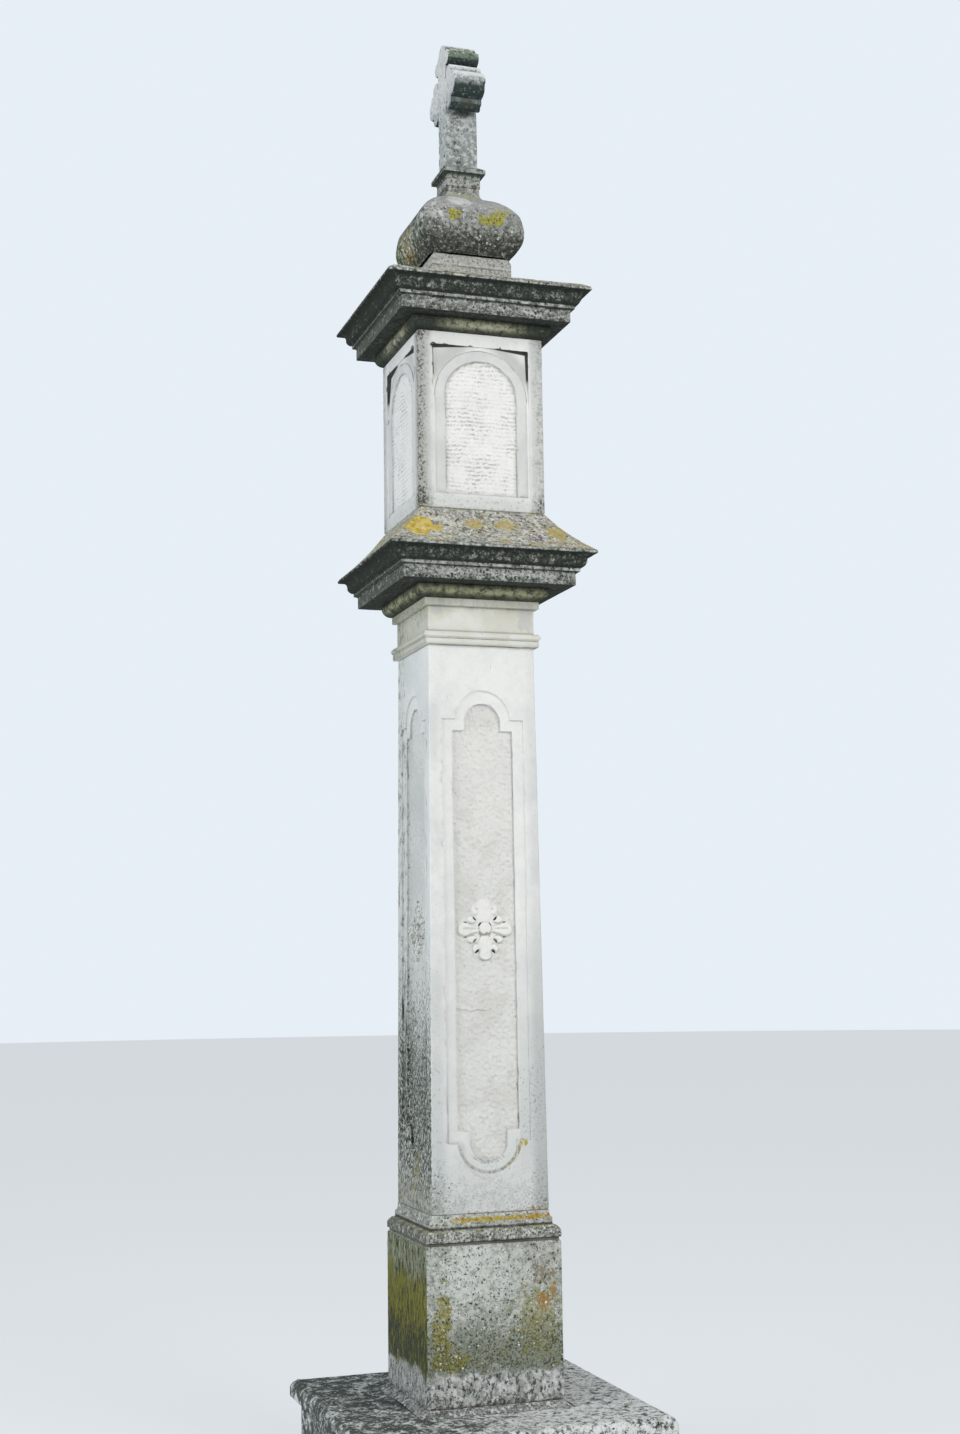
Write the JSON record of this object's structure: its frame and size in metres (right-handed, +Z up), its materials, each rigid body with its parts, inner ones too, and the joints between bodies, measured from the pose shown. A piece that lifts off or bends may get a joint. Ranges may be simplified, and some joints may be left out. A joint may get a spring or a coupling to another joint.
{
  "type": "wayside shrine column",
  "caption": "Square stone wayside column on a nosed slab: panelled shaft with rosettes, moulded cornices, arched niche block, onion finial and a cross with trefoil ends.",
  "frame": {"origin": "on the ground, at the middle of the square base course, on the column's axis", "axes": "+Z up along the column; -Y is the face that the picture shows nearly square on, -X the face seen at a slant; the cross's arms run along Y"},
  "size_m": [0.97, 0.97, 4.7309],
  "materials": {
    "pale_stone": "weathered, finely tooled",
    "grey_stone": "rough, lichen covered",
    "dark_stone": "rough, dark with lichen",
    "mortar": "crumbled lime mortar"
  },
  "bodies": {
    "root": {"base_riser": "grey_stone", "base_slab": "grey_stone", "mortar_bed": "mortar", "die": "grey_stone", "die_joint": "mortar", "base_torus": "grey_stone", "base_cove": "grey_stone", "shaft": "pale_stone", "rosette_front": "pale_stone", "rosette_right": "pale_stone", "rosette_back": "pale_stone", "rosette_left": "pale_stone", "astragal": "pale_stone", "neck": "pale_stone", "neck_fillet": "pale_stone", "lower_ovolo": "dark_stone", "lower_corona": "dark_stone", "lower_cyma": "dark_stone", "lower_weathering": "dark_stone", "panel_block": "pale_stone", "upper_ovolo": "dark_stone", "upper_corona": "dark_stone", "upper_cyma": "dark_stone", "upper_weathering": "dark_stone", "finial_plinth": "dark_stone", "finial_onion": "dark_stone", "finial_neck": "dark_stone", "finial_cap": "dark_stone", "cross": "dark_stone"}
  },
  "joints": []
}
